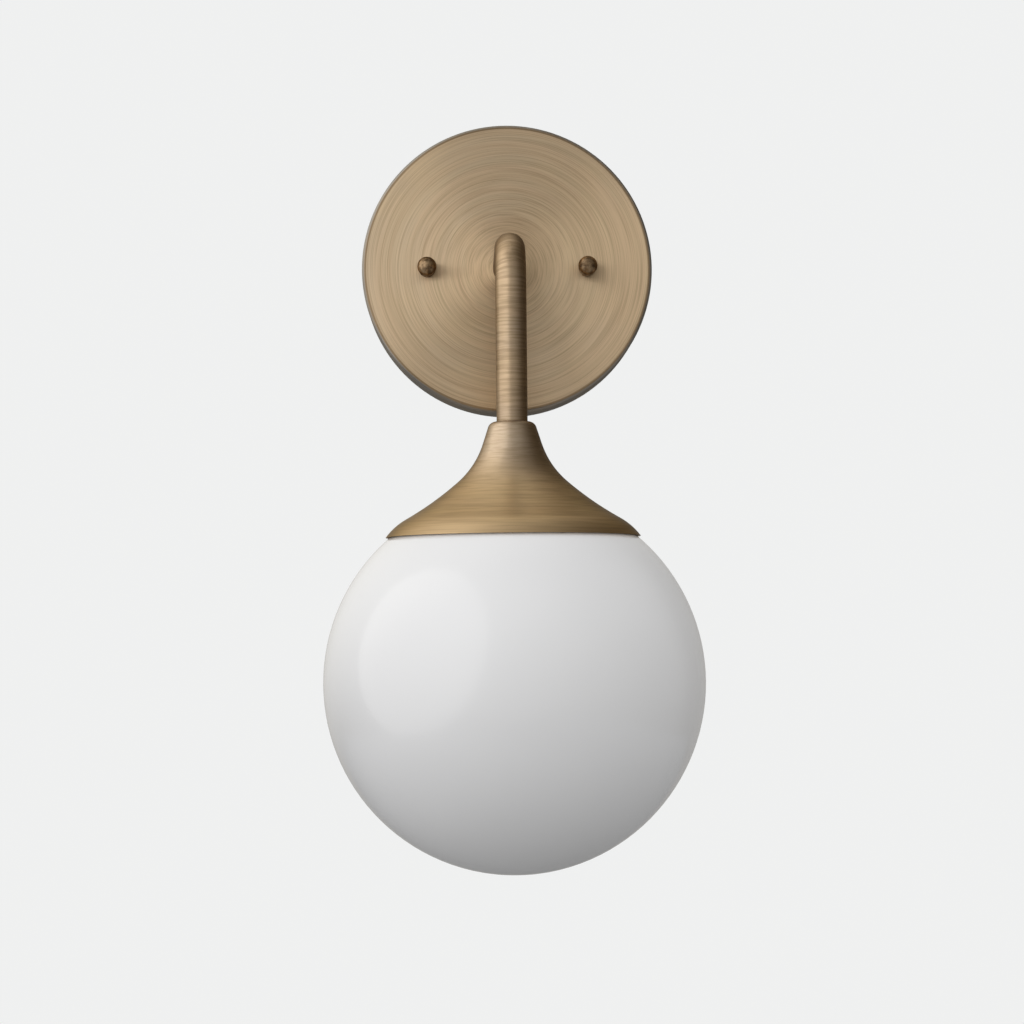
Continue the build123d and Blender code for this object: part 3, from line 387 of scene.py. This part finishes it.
def slot_of(node):
    """The slot of a CAD node: the name of its material in model.glb."""
    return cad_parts[node].data.materials[0].name.split(".")[0]


def slot_paint(slot):
    if slot in METALS:
        return metal(*METALS[slot])
    if slot in PLASTICS:
        return plastic(*PLASTICS[slot])
    return OTHERS[slot]()


painted = {}
for node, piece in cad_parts.items():
    slot = slot_of(node)
    key = node if node in OWN else slot
    if key not in painted:
        painted[key] = (OWN[node]() if node in OWN else slot_paint(slot)).material
    piece.data.materials.clear()
    piece.data.materials.append(painted[key])

# ---------------------------------------------------------------- floor
PALE = (0.867, 0.873, 0.871)  # the background, as the camera sees it
NO_LIGHT = (0.0, 0.0, 0.0)
FLOOR_HEIGHT, FLOOR_HALF = -1.25, 3.0
FLOOR_LIT = (0.25, 0.25, 0.25)       # what it gives to diffuse rays
FLOOR_MIRRORED = (0.42, 0.42, 0.42)  # and to glossy ones
FLOOR_LIFT = (0.23, 0.23, 0.23)      # added for the camera, as little light falls on it

corners = [(x, y, FLOOR_HEIGHT) for x, y in ((-1, -1), (1, -1), (1, 1), (-1, 1))]
mesh = bpy.data.meshes.new("floor")
mesh.from_pydata([(FLOOR_HALF * x, FLOOR_HALF * y, z) for x, y, z in corners], [],
                 [(0, 1, 2, 3)])
floor = bpy.data.objects.new("floor", mesh)
bpy.context.scene.collection.objects.link(floor)
paint = Paint("floor", Roughness=0.9, Emission_Strength=1.0)
paint.colour(paint.by_ray(FLOOR_LIT, FLOOR_MIRRORED, PALE))
paint.feed(paint.shader.inputs["Emission Color"],
           paint.by_ray(NO_LIGHT, NO_LIGHT, FLOOR_LIFT))
mesh.materials.append(paint.material)

# ---------------------------------------------------------------- light
# Gloss sees a room that is brightest in front, a little to the left and above.  It
# darkens and warms away from there, is milder again straight behind, and has a soft
# glow high up at the left back.
ROOM_TURN, ROOM_RISE = radians(-20), radians(15)
DIM = (0.084, 0.067, 0.044)
MILD = (0.64, 0.635, 0.62)
GLOW = (1.05, 1.02, 0.95)
DIM_BEYOND, FALL_OFF = -0.3, 1.8
BEHIND_FROM, BEHIND_SHARE = 0.55, 0.55
GLOW_TOWARDS = Vector((-0.45, 0.52, 0.72)).normalized()
GLOW_FROM = 0.40
# Other surfaces get an even light, a little stronger from the right, front and above.
EVEN_LEVEL, EVEN_SLOPE = 0.555, (0.19, -0.22, 0.06)

world = bpy.data.worlds.new("studio")
bpy.context.scene.world = world
world.use_nodes = True
world.cycles.sampling_method = "NONE"
sky = Graph(world.node_tree)
sky.tree.nodes.clear()
rightwards, backwards, upwards = sky.split(sky.add("ShaderNodeTexCoord").outputs["Generated"])


def bearing(turn, rise):
    """The direction from the object at a turn to the right of the front, and a rise."""
    return Vector((sin(turn) * cos(rise), -cos(turn) * cos(rise), sin(rise)))


def facing(direction):
    """How far a ray from the object points in a direction: 1 straight that way."""
    parts = [sky.math("MULTIPLY", axis, part)
             for axis, part in zip((rightwards, backwards, upwards), direction)]
    return sky.math("ADD", parts[0], sky.math("ADD", parts[1], parts[2]))


share = sky.math("POWER", sky.remap(facing(bearing(ROOM_TURN, ROOM_RISE)),
                                    DIM_BEYOND, 1.0, kind="LINEAR"), FALL_OFF)
mirrored = sky.blend(sky.remap(backwards, BEHIND_FROM, 1.0, 0.0, BEHIND_SHARE),
                     sky.blend(share, DIM, MILD), MILD)
mirrored = sky.blend(sky.remap(facing(GLOW_TOWARDS), GLOW_FROM, 1.0), mirrored, GLOW)
even = sky.math("ADD", EVEN_LEVEL, facing(EVEN_SLOPE))
background = sky.add("ShaderNodeBackground")
sky.feed(background.inputs[0], sky.by_ray(sky.join(even, even, even), mirrored, PALE))
sky.feed(sky.add("ShaderNodeOutputWorld").inputs[0], background.outputs[0])

# One large round lamp to the left of the object and a little above it.
AIM = Vector((0.0, -0.06, -0.1))
KEY_TURN, KEY_RISE, KEY_DISTANCE = radians(-63), radians(16), 2.0
KEY_SIZE, KEY_RADIANCE = 3.8, 0.82    # a radiance of 1 looks like a white card

light = bpy.data.lights.new("key", "AREA")
light.shape, light.size = "DISK", KEY_SIZE
light.energy = KEY_RADIANCE * pi * pi / 4 * KEY_SIZE ** 2
lamp = bpy.data.objects.new("key", light)
bpy.context.scene.collection.objects.link(lamp)
lamp.location = AIM + KEY_DISTANCE * bearing(KEY_TURN, KEY_RISE)
lamp.rotation_mode = "QUATERNION"
lamp.rotation_quaternion = (AIM - lamp.location).to_track_quat("-Z", "Y")

# ---------------------------------------------------------------- camera
# The photograph's viewpoint: a little left of the plate's middle and below it, looking
# slightly up and to the right.  The angles are in radians.
CAMERA_PLACE = Vector((-0.01852, -0.91178, -0.14843))
CAMERA_UP, CAMERA_RIGHT, CAMERA_ROLL = 0.046887, 0.022001, -0.0093217
FOCAL_PIXELS, IMAGE_PIXELS, SENSOR = 2055.74, 1024, 36.0

camera_data = bpy.data.cameras.new("camera")
camera_data.sensor_width = SENSOR
camera_data.lens = SENSOR * FOCAL_PIXELS / IMAGE_PIXELS
camera_data.clip_start, camera_data.clip_end = 0.01, 30.0
camera = bpy.data.objects.new("camera", camera_data)
bpy.context.scene.collection.objects.link(camera)
ahead = Vector((sin(CAMERA_RIGHT) * cos(CAMERA_UP), cos(CAMERA_RIGHT) * cos(CAMERA_UP),
                sin(CAMERA_UP)))
level = Vector((cos(CAMERA_RIGHT), -sin(CAMERA_RIGHT), 0.0))
upright = level.cross(ahead)
right = cos(CAMERA_ROLL) * level + sin(CAMERA_ROLL) * upright
up = -sin(CAMERA_ROLL) * level + cos(CAMERA_ROLL) * upright
turned = Matrix((right, up, -ahead)).transposed()
camera.matrix_world = Matrix.Translation(CAMERA_PLACE) @ turned.to_4x4()
bpy.context.scene.camera = camera

bpy.context.scene.view_settings.view_transform = "Standard"
